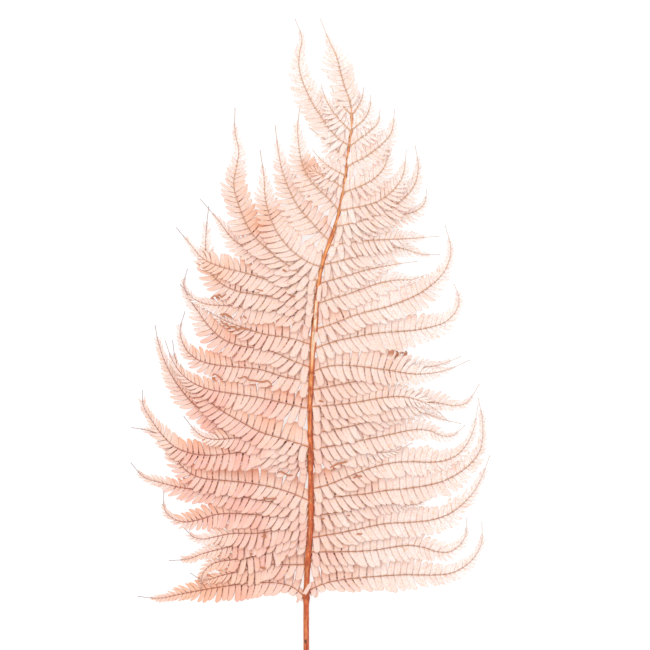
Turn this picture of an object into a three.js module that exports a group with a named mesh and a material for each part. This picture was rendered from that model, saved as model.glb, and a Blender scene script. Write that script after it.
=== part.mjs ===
// A preserved fern frond, blush pink, lying face up on a flat surface.
// One orange stalk carries long narrow pinnae on both sides, and each pinna is a thin blade
// cut to its rib into slanting leaflets. Millimetres, +Z up, +Y towards the frond's tip.
import * as THREE from "three";

// Driving dimensions.
const LEAFLET_PITCH = 8.9; // along a rib, from one leaflet to the next
const LEAFLET_LENGTH = 12.5; // where a long pinna is widest
const LEAFLET_THICKNESS = 0.66;
const RIB_THICKNESS = 1.15;
const RIB_HALF_WIDTH = 1.0;
const WHIP_HALF_WIDTH = 0.5; // the bare end of a rib
const SHINGLE_TILT = 0.2; // fall of a blade across its width, towards the frond's tip
const LEAFLET_DROOP = 0.9; // fall of a full leaflet's end below the blade's plane
const LAYER_GAP = 0.35; // between one blade and those that it lies over
const SEAT_GAP = 0.3; // between a pinna's foot and the stalk
const LEAFLET_CLEARANCE = 0.8; // the least between a leaflet and the stalk
const FOOT_LENGTH = 2.6; // from the stalk's surface to the first leaflet
const STALK_ARCH = 9; // the stalk's underside above the surface, at the frond's middle
const SEED = 2447;

// The stalk's middle line, seen from above, from the cut end to the last pinnae.
const STALK_LINE = [
  [-3, -94], [-3, -48], [-3, -10], [-2.5, 10], [-1, 35], [0.5, 60], [0.5, 100], [0.1, 145],
  [1.1, 186], [3.1, 217], [6.2, 245], [11, 265], [20, 290], [26.5, 318], [30.6, 350], [33.4, 372],
  [32.8, 386],
];

// Each pinna's rib, seen from above. It starts on the stalk's middle line. Leaflets end at the last
// point but one, and the last point ends the bare whip.
const LEFT_PINNAE = [
  [[-3, -6], [-15, 3], [-28, 6], [-50, 5.5], [-75, 2], [-100, -2.5], [-121, -6.5], [-138, -5]],
  [[-2, 20.5], [-20, 20.5], [-33, 20.5], [-48, 17], [-70, 12], [-85, 8], [-96, 14]],
  [[-0.5, 41.5], [-20, 38], [-30, 32], [-40, 29.5], [-50, 25.5], [-62, 24.5], [-78, 21], [-86, 12], [-87, 1]],
  [[-0.2, 47.5], [-30, 42], [-43, 40.5], [-68, 34], [-85, 29.5], [-97, 25], [-113, 23.5]],
  [[0.2, 54], [-20, 50], [-40, 46], [-62, 45.5], [-75, 43], [-85, 41], [-93, 42.5], [-101, 50]],
  [[0.5, 60], [-20, 59.5], [-40, 60.5], [-60, 61.5], [-75, 60.5], [-88, 56.5], [-99, 54.5],
    [-109, 57], [-116, 64], [-117, 80]],
  [[0.5, 65.5], [-25, 70], [-55, 75], [-83, 79.5], [-103, 82], [-120, 86], [-133, 90.5], [-143.5, 102]],
  [[0.5, 71.5], [-15, 78], [-30, 82.5], [-50, 86], [-70, 88], [-85, 89.5], [-96, 93.5], [-104, 101],
    [-111, 113], [-119, 122], [-129, 127.5], [-143, 130]],
  [[0.5, 98], [-15, 102.5], [-30, 108], [-44, 114], [-57, 122], [-70, 133], [-80, 140], [-92, 148],
    [-105, 163], [-115, 180], [-121, 197], [-124, 212]],
  [[0.4, 104], [-15, 109], [-35, 112], [-60, 110], [-78, 108], [-95, 109.5], [-108, 114.5],
    [-118, 124], [-128, 138], [-133.5, 148], [-134, 160]],
  [[0.4, 109], [-30, 118], [-57, 122], [-70, 121], [-81, 121.5], [-90, 126], [-101, 139]],
  [[0.3, 114.5], [-20, 121], [-40, 127], [-55, 135], [-70, 143.5], [-85, 155], [-98, 168],
    [-107, 183], [-110, 200]],
  [[0.1, 145], [-20, 149.5], [-40, 154], [-60, 157], [-80, 160.5], [-92, 165], [-101, 171.5],
    [-109, 182], [-116, 200]],
  [[0.5, 167], [-20, 170.5], [-40, 176.5], [-60, 178.5], [-80, 181], [-92, 185.5], [-100, 194],
    [-104, 207], [-100, 223]],
  [[0.8, 178], [-15, 184], [-30.5, 191], [-58, 196], [-70, 201], [-80.5, 210.5], [-89, 222],
    [-97, 234], [-101, 244], [-98, 257]],
  [[1.8, 196], [-14, 201], [-38, 205], [-59, 212], [-73, 218], [-86, 226]],
  [[2.8, 212.5], [-17, 221], [-39, 225], [-59, 227], [-82, 228.5], [-93, 233], [-104, 245]],
  [[3.6, 221], [-20, 232], [-45, 236.5], [-60, 239.5], [-74, 247.5], [-81.5, 259], [-83.5, 273],
    [-83, 288], [-81, 307]],
  [[4.4, 229], [-7, 236], [-26, 244.5], [-40, 250], [-54, 254], [-70, 258], [-85, 264.5],
    [-97, 278], [-107, 290]],
  [[5.4, 238], [-10, 247.5], [-30, 260], [-50, 272.5], [-63, 282], [-72, 294], [-88, 313]],
  [[6.6, 247], [-12, 256], [-23, 263.5], [-35, 273.5], [-44, 282], [-51, 293], [-57, 308],
    [-61, 324], [-59, 338], [-57, 351], [-60, 366], [-60, 386]],
  [[9.2, 258], [-1.5, 262], [-12.7, 269.6], [-20, 277], [-27, 287], [-33, 301], [-36, 316],
    [-37, 332], [-40, 352]],
  [[15.9, 279], [9, 285], [1.6, 293.5], [-6.6, 302.5], [-14, 314], [-19, 326], [-23, 338],
    [-25.5, 352], [-28, 372]],
  [[23.3, 303], [13, 314.5], [5, 322], [-1.5, 330], [-6, 340], [-8.5, 352], [-10, 368], [-8, 388]],
  [[27.1, 321], [19, 326.5], [8.7, 332], [1.6, 336], [-6, 344]],
  [[28.4, 331], [17, 337], [10, 342.5], [2, 352]],
  [[30.2, 345.5], [22, 351], [12, 360], [-1, 370]],
  [[31.5, 355], [23.4, 360], [15, 369], [9, 378], [3, 387], [-2, 397], [-6.5, 408], [-9, 420],
    [-8, 432], [-6.5, 441], [-12, 457]],
  [[33, 366], [28, 371], [20, 380], [13, 391], [9, 404]],
  [[33.2, 379.5], [27, 386], [21.5, 393], [17, 402]],
];
const RIGHT_PINNAE = [
  [[-2.8, -1], [10, 5], [25, 8.5], [50, 11], [75, 12.5], [100, 12.3], [112, 13.5], [122, 18],
    [131, 26], [137, 38], [137.5, 55]],
  [[-1.6, 23], [20, 25.5], [40, 27], [52, 27.5], [66, 29]],
  [[-1.2, 31], [20, 31], [40, 31.5], [53, 32.5], [65, 34.5], [78, 36], [90, 34.5], [101, 31],
    [111, 30.5], [119, 35.5], [124.5, 44], [125.5, 58]],
  [[-0.6, 42], [20, 45.5], [40, 49.5], [60, 53.5], [80, 54.5], [98, 56.5], [112, 61.5], [122, 69],
    [131, 79], [138, 92], [144, 108]],
  [[0.5, 60], [15, 61.5], [30, 64.5], [45, 68.5], [60, 70], [75, 68.5], [86, 69], [99, 75]],
  [[0.5, 72], [15, 74.5], [30, 76], [45, 77.5], [60, 80], [80, 82], [102, 86], [115, 91.5],
    [127, 100], [135, 110], [138, 123], [137.5, 138], [134.5, 154]],
  [[0.5, 81], [15, 85], [30, 91], [50, 98.5], [65, 102], [78, 103], [95, 102.5], [107, 103.5],
    [118, 108.5], [126, 118], [131, 130], [134.5, 149]],
  [[0.5, 104], [12, 108], [25, 111], [50, 110.5], [68, 111.5], [82, 118]],
  [[0.4, 113], [25, 117], [45, 121], [65, 125], [84, 128.5], [96, 127.5], [106, 123.5], [115, 124],
    [124, 132]],
  [[0.3, 124], [12, 127.5], [25, 130], [37, 132.5], [50, 137.5], [61, 141.5], [75, 144], [90, 142],
    [103, 137.5], [121, 133]],
  [[0.2, 137.5], [25, 142], [45, 146], [70, 148], [90, 150.5], [104, 149.5], [116, 147.5],
    [126, 150.5], [135.5, 165]],
  [[0.1, 147], [30, 149.5], [45, 152], [60, 154.5], [73, 155], [87, 152], [99, 145.5], [112, 134]],
  [[0.3, 160], [15, 163], [35, 167], [50, 171.5], [62, 175.5], [75, 178], [93, 178.5], [106, 181],
    [121, 187]],
  [[0.8, 174.5], [12, 178.5], [22, 180], [36, 179.5], [60, 176.5], [85, 173], [107, 175.5], [128, 184]],
  [[1.7, 192.5], [19.5, 199], [33, 202], [49, 205], [63, 206.5], [84, 208], [97, 210.5],
    [109, 215], [117, 224], [119, 234], [115, 245]],
  [[2.5, 208], [20.6, 214], [33, 219], [45, 222.5], [61, 226.5], [82, 234.5], [93, 241], [103, 249.5],
    [110, 260], [112.5, 274], [108, 292]],
  [[4.5, 228.5], [18.5, 233.4], [31, 237], [42, 241], [57, 246], [70, 248], [82, 248.5], [93, 252.5]],
  [[6.2, 245], [25, 250], [45, 256], [65, 260], [86, 263]],
  [[9.8, 260], [21.6, 262.5], [33, 265.6], [46, 269.5], [57, 273], [68, 274], [78, 272],
    [90, 268.5], [104, 268.5]],
  [[14.5, 275], [25, 277], [40, 279], [55, 280], [70, 280.5], [85, 281.5], [103, 283]],
  [[17.8, 284.5], [35, 289], [50, 294.5], [62, 298.5], [75, 300.5], [85, 303.5], [91.5, 309.5],
    [93.5, 321]],
  [[20, 290.5], [33, 293], [43, 296], [53, 300], [63.4, 305], [72, 311], [80, 318.5], [85, 328],
    [86.5, 340], [84, 356]],
  [[23, 303], [35, 305.5], [45, 307.5], [56, 311.5], [63, 316.5], [69, 322.5], [73.5, 330],
    [75.5, 338], [77, 352]],
  [[26.3, 317.5], [33, 320], [41, 323], [50, 328], [56.5, 334], [60.5, 341], [62.5, 349], [64, 362]],
  [[29.2, 338], [36, 342], [43, 345.5], [51, 351], [58.5, 357.5], [64, 364], [66.5, 372], [67.5, 385]],
  [[31.5, 354.5], [40, 361], [48, 367], [54.5, 374], [56, 385]],
  [[33, 367.5], [40, 373], [45, 379], [48, 386.5], [48.5, 396]],
  [[33.2, 379], [38, 386], [41.5, 393], [43, 402]],
];
// The stalk ends among leaflets that it carries itself.
const TIP_LINE = [[32.7, 386.3], [30.6, 393.5], [27.5, 402], [24.5, 413], [21.4, 426], [16, 437.5], [8.2, 457]];

const LEAF_COLOUR = 0xe9b3a0;
const STALK_COLOUR = 0xc4622d;

const UP = new THREE.Vector3(0, 0, 1);
const smooth = THREE.MathUtils.smoothstep;
const leafMaterial = new THREE.MeshStandardMaterial({ color: LEAF_COLOUR, roughness: 0.75, metalness: 0 });
const stalkMaterial = new THREE.MeshStandardMaterial({ color: STALK_COLOUR, roughness: 0.6, metalness: 0 });

// Repeatable random draws from 0 to 1.
let drawState = SEED;
function draw() {
  drawState = (Math.imul(drawState, 1664525) + 1013904223) >>> 0;
  return drawState / 4294967296;
}
const spread = (amount) => (draw() - 0.5) * 2 * amount;

function planCurve(points) {
  const line = points.map(([x, y]) => new THREE.Vector3(x, y, 0));
  const curve = new THREE.CatmullRomCurve3(line, false, "centripetal");
  curve.arcLengthDivisions = 400;
  return curve;
}

// The stalk's half thickness and the height of its underside, along the frond.
const stalkRadius = (y) => 2.35 - 0.45 * smooth(y, 0, 180) - 0.9 * smooth(y, 180, 386);
const stalkLift = (y) => STALK_ARCH * smooth(y, -20, 140) - 5 * smooth(y, 210, 386);
const stalkMiddle = (y) => stalkLift(y) + stalkRadius(y);

const stalkCurve = planCurve(STALK_LINE);
const stalkPoints = stalkCurve.getSpacedPoints(240);
const tipPoints = planCurve(TIP_LINE).getSpacedPoints(30);

// How far a point lies from the surface of the stalk, or of another line, seen from above.
function clearance({ x, y }, line) {
  let nearest = Infinity;
  for (const p of line) nearest = Math.min(nearest, Math.hypot(p.x - x, p.y - y) - stalkRadius(p.y));
  return nearest;
}

// The stalk: a flat underside, two ridges along its upper face and a channel between them.
const STALK_SECTION = [
  [-0.45, -1], [0.45, -1], [0.95, -0.4], [0.95, 0.35], [0.5, 0.95], [0, 0.6], [-0.5, 0.95],
  [-0.95, 0.35], [-0.95, -0.4],
];
const STALK_STATIONS = 34;
const STALK_CUT_SLANT = 1.5; // how far the cut end's upper edge stands back
function makeStalk() {
  const sides = STALK_SECTION.length;
  const places = [];
  for (let i = 0; i <= STALK_STATIONS; i++) {
    const at = i / STALK_STATIONS;
    const middle = stalkCurve.getPointAt(at);
    const along = stalkCurve.getTangentAt(at);
    const side = new THREE.Vector3().crossVectors(along, UP);
    const radius = stalkRadius(middle.y);
    for (const [across, high] of STALK_SECTION) {
      const corner = middle.clone().addScaledVector(side, across * radius);
      corner.z = stalkMiddle(middle.y) + high * radius;
      if (i === 0) corner.y += STALK_CUT_SLANT * (high + 1) * 0.5;
      places.push(corner);
    }
  }
  const faces = [];
  for (let i = 0; i < STALK_STATIONS; i++) {
    for (let j = 0; j < sides; j++) {
      const a = i * sides + j;
      const b = i * sides + ((j + 1) % sides);
      faces.push([a, b + sides, b], [a, a + sides, b + sides]);
    }
  }
  const cap = THREE.ShapeUtils.triangulateShape(STALK_SECTION.map(([x, y]) => new THREE.Vector2(x, y)), []);
  const last = STALK_STATIONS * sides;
  for (const [a, b, c] of cap) faces.push([a, b, c], [last + a, last + c, last + b]);
  return solid(places, faces);
}

function solid(places, faces) {
  const geometry = new THREE.BufferGeometry().setFromPoints(places);
  geometry.setIndex(faces.flat());
  geometry.computeVertexNormals();
  return geometry;
}

// The heights of what is already laid, on a fine grid seen from above. The bare surface is 0.
const CELL = 0.5;
const GRID_LEFT = -160;
const GRID_FOOT = -110;
const GRID_COLUMNS = 640;
const GRID_ROWS = 1180;
const laid = new Float32Array(GRID_COLUMNS * GRID_ROWS);

// Calls visit(cell, weights) for each grid cell under a triangle seen from above.
function eachCell(a, b, c, visit) {
  const area = (b.x - a.x) * (c.y - a.y) - (c.x - a.x) * (b.y - a.y);
  const column = (x) => Math.floor((x - GRID_LEFT) / CELL);
  const row = (y) => Math.floor((y - GRID_FOOT) / CELL);
  const edge = 0.35 * CELL * Math.sqrt(1 / Math.abs(area));
  for (let j = row(Math.min(a.y, b.y, c.y)); j <= row(Math.max(a.y, b.y, c.y)); j++) {
    for (let i = column(Math.min(a.x, b.x, c.x)); i <= column(Math.max(a.x, b.x, c.x)); i++) {
      const x = GRID_LEFT + (i + 0.5) * CELL;
      const y = GRID_FOOT + (j + 0.5) * CELL;
      const onB = ((x - a.x) * (c.y - a.y) - (c.x - a.x) * (y - a.y)) / area;
      const onC = ((b.x - a.x) * (y - a.y) - (x - a.x) * (b.y - a.y)) / area;
      const onA = 1 - onB - onC;
      if (Math.min(onA, onB, onC) >= -edge) visit(j * GRID_COLUMNS + i, onA, onB, onC);
    }
  }
}

function highestRound(cell) {
  let highest = 0;
  for (const down of [-GRID_COLUMNS, 0, GRID_COLUMNS]) {
    for (const across of [-1, 0, 1]) highest = Math.max(highest, laid[cell + down + across]);
  }
  return highest;
}

// A blade in plan: corners with their place along the rib and their fall from it, and faces.
function bladePlan(points, side) {
  const endsStalk = points === TIP_LINE;
  const keepOff = endsStalk ? stalkPoints : [...stalkPoints, ...tipPoints];
  const curve = planCurve(points);
  const whole = curve.getLength();
  const whip = new THREE.Vector2(...points.at(-1)).distanceTo(new THREE.Vector2(...points.at(-2)));
  const corners = [];
  const faces = [];
  const frame = (along) => {
    const at = THREE.MathUtils.clamp(along / whole, 0, 1);
    const along3 = curve.getTangentAt(at);
    return { middle: curve.getPointAt(at), along: along3, across: new THREE.Vector3().crossVectors(UP, along3) };
  };
  const addCorner = (base, forward, out, fall, thickness) => {
    const { middle, along, across } = frame(base);
    const place = middle.clone().addScaledVector(along, forward).addScaledVector(across, out);
    corners.push({ x: place.x, y: place.y, along: base + forward, fall, half: thickness / 2 });
    return corners.length - 1;
  };
  const addPair = (base, halfWidth, thickness) => [
    addCorner(base, 0, -halfWidth, 0, thickness),
    addCorner(base, 0, halfWidth, 0, thickness),
  ];
  const addStrip = ([a, b], [c, d]) => faces.push([a, c, d], [a, d, b]);

  // The foot of the rib, just clear of the stalk.
  let foot = 0;
  const footClear = () => {
    const { middle, across } = frame(foot);
    const ends = [-1, 1].map((way) => middle.clone().addScaledVector(across, way * RIB_HALF_WIDTH));
    return Math.min(...ends.map((end) => clearance(end, stalkPoints)));
  };
  while (!endsStalk && footClear() < SEAT_GAP) foot += 0.05;
  let first = foot + FOOT_LENGTH;
  while (clearance(frame(first).middle, stalkPoints) < FOOT_LENGTH) first += 0.1;

  // Leaflets along both sides of the rib.
  const last = whole - whip;
  const count = Math.max(3, Math.round((last - first) / LEAFLET_PITCH));
  const pitch = (last - first) / count;
  const fullLength = LEAFLET_LENGTH * Math.min(1, 0.5 + whole / 160);
  let before = addPair(foot, RIB_HALF_WIDTH, RIB_THICKNESS);
  let here = addPair(first, RIB_HALF_WIDTH, RIB_THICKNESS);
  addStrip(before, here);
  for (let i = 0; i < count; i++) {
    const part = (i + 0.5) / count;
    const base = first + (i + 0.5) * pitch;
    const taper = 0.75 + 0.25 * smooth(part, 0, 0.15) - 0.7 * smooth(part, 0.35, 1.05);
    const slant = THREE.MathUtils.degToRad(THREE.MathUtils.lerp(70, 48, part));
    const tilt = SHINGLE_TILT * (1 - 0.4 * part);
    const turn = frame(base - 5).along.angleTo(frame(base + 5).along) / 10;
    const turnsUp = frame(base - 5).along.clone().cross(frame(base + 5).along).z > 0 ? 1 : -1;
    const next = addPair(first + (i + 1) * pitch, RIB_HALF_WIDTH, RIB_THICKNESS);
    addStrip(here, next);
    for (const way of [-1, 1]) {
      const inside = way === turnsUp && turn > 0 ? 0.62 / turn : Infinity;
      let length = Math.min(fullLength * taper * (1 + spread(0.07)), inside);
      const lean = slant + spread(0.06);
      const curl = spread(0.35);
      const corner = (reach, share) => ({
        forward: (share - 0.5) * pitch + length * reach * Math.cos(lean),
        out: way * (RIB_HALF_WIDTH + length * reach * Math.sin(lean)),
      });
      const isClear = ({ forward, out }) => {
        const { middle, along, across } = frame(base);
        const place = middle.addScaledVector(along, forward).addScaledVector(across, out);
        return clearance(place, keepOff) > LEAFLET_CLEARANCE;
      };
      while (length > 2 && !(isClear(corner(0.74, 0.2)) && isClear(corner(1, 0.66)))) length -= 0.5;
      const ends = [corner(0.74, 0.2), corner(1, 0.66)].map(({ forward, out }) => {
        const droop = LEAFLET_DROOP * (Math.abs(out) / LEAFLET_LENGTH) ** 2;
        return addCorner(base, forward, out, side * out * tilt + droop + curl * 0.5, LEAFLET_THICKNESS);
      });
      const [heel, tip] = ends;
      if (way > 0) faces.push([here[1], next[1], tip], [here[1], tip, heel]);
      else faces.push([here[0], tip, next[0]], [here[0], heel, tip]);
    }
    here = next;
  }

  // The bare whip.
  const whipSteps = 2;
  for (let i = 1; i <= whipSteps; i++) {
    const width = THREE.MathUtils.lerp(RIB_HALF_WIDTH, WHIP_HALF_WIDTH, i / whipSteps);
    const next = addPair(last + (whip * i) / whipSteps, width, LEAFLET_THICKNESS);
    addStrip(here, next);
    here = next;
  }
  const root = points[0][1];
  return {
    corners, faces, foot, first, whole, footHeight: stalkMiddle(root), footPlay: 0.5 * stalkRadius(root),
  };
}

// The least smooth curve along the rib that keeps the blade above all that is laid.
const STEP = 1;
const EASE = 9;
function ribHeights({ corners, faces, foot, first, whole, footHeight, footPlay }) {
  const steps = Math.ceil((whole + 16) / STEP);
  const heights = Array.from({ length: steps + 1 }, (_, i) => {
    const part = THREE.MathUtils.clamp((i * STEP - foot) / (whole - foot), 0, 1);
    return footHeight * (1 - smooth(part, 0, 0.85)) + 1.6 * Math.sin(Math.PI * Math.min(1, part * 1.4));
  });
  for (const face of faces) {
    const [a, b, c] = face.map((i) => corners[i]);
    const from = Math.max(0, Math.floor(Math.min(a.along, b.along, c.along) / STEP));
    const to = Math.min(steps, Math.ceil(Math.max(a.along, b.along, c.along) / STEP));
    let need = Math.max(...[a, b, c].map(({ fall, half }) => fall + half));
    eachCell(a, b, c, (cell, onA, onB, onC) => {
      const under = highestRound(cell);
      const drop = onA * (a.fall + a.half) + onB * (b.fall + b.half) + onC * (c.fall + c.half);
      need = Math.max(need, under + (under > 0 ? LAYER_GAP : 0) + drop);
    });
    for (let i = from; i <= to; i++) heights[i] = Math.max(heights[i], need);
  }
  const reach = Math.round(EASE / STEP);
  const around = (list, i) => list.slice(Math.max(0, i - reach), i + reach + 1);
  const raised = heights.map((_, i) => Math.max(...around(heights, i)));
  const eased = raised.map((_, i) => {
    const near = around(raised, i);
    return near.reduce((sum, value) => sum + value, 0) / near.length;
  });
  const height = (along) => {
    const at = THREE.MathUtils.clamp(along / STEP, 0, steps - 0.001);
    const low = Math.floor(at);
    return THREE.MathUtils.lerp(eased[low], eased[low + 1], at - low);
  };
  const seat = THREE.MathUtils.clamp(height(foot), footHeight - footPlay, footHeight + footPlay);
  return (along) => THREE.MathUtils.lerp(seat, height(along), smooth(along, foot, first));
}

// Lays a blade over those before it and returns its closed solid.
function makeBlade(points, side) {
  const plan = bladePlan(points, side);
  const height = ribHeights(plan);
  for (const corner of plan.corners) {
    const z = height(corner.along) - corner.fall;
    corner.top = z + corner.half;
    corner.under = z - corner.half;
  }
  for (const face of plan.faces) {
    const [a, b, c] = face.map((i) => plan.corners[i]);
    eachCell(a, b, c, (cell, onA, onB, onC) => {
      laid[cell] = Math.max(laid[cell], onA * a.top + onB * b.top + onC * c.top);
    });
  }
  const total = plan.corners.length;
  const places = [
    ...plan.corners.map(({ x, y, top }) => new THREE.Vector3(x, y, top)),
    ...plan.corners.map(({ x, y, under }) => new THREE.Vector3(x, y, under)),
  ];
  const faces = [];
  const edges = new Set(plan.faces.flatMap(([a, b, c]) => [`${a} ${b}`, `${b} ${c}`, `${c} ${a}`]));
  for (const [a, b, c] of plan.faces) {
    faces.push([a, b, c], [a + total, c + total, b + total]);
    for (const [from, to] of [[a, b], [b, c], [c, a]]) {
      if (edges.has(`${to} ${from}`)) continue;
      faces.push([from, from + total, to + total], [from, to + total, to]);
    }
  }
  return solid(places, faces);
}

const frond = new THREE.Group();
function add(name, geometry, material) {
  const mesh = new THREE.Mesh(geometry, material);
  mesh.name = name;
  frond.add(mesh);
}

add("stalk", makeStalk(), stalkMaterial);
const numbered = (i) => String(i + 1).padStart(2, "0");
LEFT_PINNAE.forEach((points, i) => add(`left_pinna_${numbered(i)}`, makeBlade(points, -1), leafMaterial));
RIGHT_PINNAE.forEach((points, i) => add(`right_pinna_${numbered(i)}`, makeBlade(points, 1), leafMaterial));
add("frond_tip", makeBlade(TIP_LINE, 1), leafMaterial);

// The origin is under the middle of the frond's box, on the surface that it lies on.
const box = new THREE.Box3().setFromObject(frond);
const middle = box.getCenter(new THREE.Vector3());
frond.position.set(-middle.x, -middle.y, -box.min.z);

export default frond;
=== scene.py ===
"""A preserved fern frond, dyed blush pink, lying face up on a light table.

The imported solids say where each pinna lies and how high. Here each one becomes a thin rib with fine
leaflets cut to it, and the stalk gets its ridges, channel, knots and fibres. Metres, +Z up.
"""

import bisect
import math
import random
from collections import namedtuple

import bmesh
import bpy
from mathutils import Matrix, Vector
from mathutils.bvhtree import BVHTree
from mathutils.kdtree import KDTree


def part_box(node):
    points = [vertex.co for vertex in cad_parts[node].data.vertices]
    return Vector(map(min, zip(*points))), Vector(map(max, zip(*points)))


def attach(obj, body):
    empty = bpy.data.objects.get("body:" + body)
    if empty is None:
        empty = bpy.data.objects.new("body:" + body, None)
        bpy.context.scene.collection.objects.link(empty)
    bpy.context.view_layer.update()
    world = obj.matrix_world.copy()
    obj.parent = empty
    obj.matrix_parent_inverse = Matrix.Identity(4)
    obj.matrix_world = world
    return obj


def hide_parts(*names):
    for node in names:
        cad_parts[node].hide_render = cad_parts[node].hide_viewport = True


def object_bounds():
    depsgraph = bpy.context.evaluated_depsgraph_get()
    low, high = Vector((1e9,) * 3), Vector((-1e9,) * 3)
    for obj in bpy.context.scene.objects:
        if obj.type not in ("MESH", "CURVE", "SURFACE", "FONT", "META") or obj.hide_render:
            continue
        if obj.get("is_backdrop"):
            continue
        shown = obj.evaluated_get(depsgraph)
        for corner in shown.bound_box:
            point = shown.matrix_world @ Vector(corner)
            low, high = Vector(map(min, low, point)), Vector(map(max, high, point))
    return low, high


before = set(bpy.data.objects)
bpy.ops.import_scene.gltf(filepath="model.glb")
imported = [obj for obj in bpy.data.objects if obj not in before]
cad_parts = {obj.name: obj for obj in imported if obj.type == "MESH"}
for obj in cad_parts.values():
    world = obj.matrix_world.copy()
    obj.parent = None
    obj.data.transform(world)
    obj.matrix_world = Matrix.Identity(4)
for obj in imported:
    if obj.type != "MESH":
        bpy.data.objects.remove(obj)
solid_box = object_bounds()

MM = 0.001
UP = Vector((0, 0, 1))
chance = random.Random(2447)

# The lines below are in millimetres in the leaf's own plan: x to the right and y towards the tip.
# The stalk's middle line, from the cut end to the last pinnae.
STALK_LINE = [
    (-3, -94), (-3, -48), (-3, -10), (-2.5, 10), (-1, 35), (0.5, 60), (0.5, 100), (0.1, 145),
    (1.9, 186), (4.3, 217), (6.7, 245), (11, 265), (20, 290), (26.5, 318), (30.6, 350), (33.4, 372),
    (32.8, 386),
]
# Each rib starts on the stalk's middle line. Its last stretch is its whip, bare but for its first third.
LEFT_PINNAE = [
    [(-3, -6), (-15, 3), (-28, 6), (-50, 5.5), (-75, 2), (-100, -2.5), (-121, -6.5), (-138, -5)],
    [(-2, 20.5), (-20, 20.5), (-33, 20.5), (-48, 17), (-70, 12), (-85, 8), (-96, 14)],
    [(-0.5, 41.5), (-20, 38), (-30, 32), (-40, 29.5), (-50, 25.5), (-62, 24.5), (-78, 21), (-86, 12),
     (-87, 1)],
    [(-0.2, 47.5), (-30, 42), (-43, 40.5), (-68, 34), (-85, 29.5), (-97, 25), (-113, 23.5)],
    [(0.2, 54), (-20, 50), (-40, 46), (-62, 45.5), (-75, 43), (-85, 41), (-93, 42.5), (-101, 50)],
    [(0.5, 60), (-20, 59.5), (-40, 60.5), (-60, 61.5), (-75, 60.5), (-88, 56.5), (-99, 54.5),
     (-109, 57), (-116, 64), (-117, 80)],
    [(0.5, 65.5), (-25, 70), (-55, 75), (-83, 79.5), (-103, 82), (-120, 86), (-133, 90.5),
     (-143.5, 102)],
    [(0.5, 71.5), (-15, 78), (-30, 82.5), (-50, 86), (-70, 88), (-85, 89.5), (-96, 93.5), (-104, 101),
     (-111, 113), (-119, 122), (-129, 127.5), (-143, 130)],
    [(0.5, 98), (-15, 102.5), (-30, 108), (-44, 114), (-57, 122), (-70, 133), (-80, 140), (-92, 148),
     (-105, 163), (-115, 180), (-121, 197), (-124, 212)],
    [(0.4, 104), (-15, 109), (-35, 112), (-60, 110), (-78, 108), (-95, 109.5), (-108, 114.5),
     (-118, 124), (-128, 138), (-133.5, 148), (-134, 160)],
    [(0.4, 109), (-30, 118), (-57, 122), (-70, 121), (-81, 121.5), (-90, 126), (-101, 139)],
    [(0.3, 114.5), (-20, 121), (-40, 127), (-55, 135), (-70, 143.5), (-85, 155), (-98, 168),
     (-107, 183), (-110, 200)],
    [(0.1, 145), (-20, 149.5), (-40, 154), (-60, 157), (-80, 160.5), (-92, 165), (-101, 171.5),
     (-109, 182), (-116, 200)],
    [(0.5, 167), (-20, 170.5), (-40, 176.5), (-60, 178.5), (-80, 181), (-92, 185.5), (-100, 194),
     (-104, 207), (-100, 223)],
    [(0.8, 178), (-15, 184), (-30.5, 191), (-58, 196), (-70, 201), (-80.5, 210.5), (-89, 222),
     (-97, 234), (-101, 244), (-98, 257)],
    [(1.8, 196), (-14, 201), (-38, 205), (-59, 212), (-73, 218), (-86, 226)],
    [(2.8, 212.5), (-17, 221), (-39, 225), (-59, 227), (-82, 228.5), (-93, 233), (-104, 245)],
    [(3.6, 221), (-20, 232), (-45, 236.5), (-60, 239.5), (-74, 247.5), (-81.5, 259), (-83.5, 273),
     (-83, 288), (-81, 307)],
    [(4.4, 229), (-7, 236), (-26, 244.5), (-40, 250), (-54, 254), (-70, 258), (-85, 264.5),
     (-97, 278), (-107, 290)],
    [(5.4, 238), (-10, 247.5), (-30, 260), (-50, 272.5), (-63, 282), (-72, 294), (-88, 313)],
    [(6.6, 247), (-12, 256), (-23, 263.5), (-35, 273.5), (-44, 282), (-51, 293), (-57, 308),
     (-61, 324), (-59, 338), (-57, 351), (-60, 366), (-60, 386)],
    [(9.2, 258), (-1.5, 262), (-12.7, 269.6), (-20, 277), (-27, 287), (-33, 301), (-36, 316),
     (-37, 332), (-40, 352)],
    [(15.9, 279), (9, 285), (1.6, 293.5), (-6.6, 302.5), (-14, 314), (-19, 326), (-23, 338),
     (-25.5, 352), (-28, 372)],
    [(23.3, 303), (13, 314.5), (5, 322), (-1.5, 330), (-6, 340), (-8.5, 352), (-10, 368), (-8, 388)],
    [(27.1, 321), (19, 326.5), (8.7, 332), (1.6, 336), (-6, 344)],
    [(28.4, 331), (17, 337), (10, 342.5), (2, 352)],
    [(30.2, 345.5), (22, 351), (12, 360), (-1, 370)],
    [(31.5, 355), (23.4, 360), (15, 369), (9, 378), (3, 387), (-2, 397), (-6.5, 408), (-9, 420),
     (-8, 432), (-6.5, 441), (-12, 457)],
    [(33, 366), (28, 371), (20, 380), (13, 391), (9, 404)],
    [(33.2, 379.5), (27, 386), (21.5, 393), (17, 402)],
]
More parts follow.
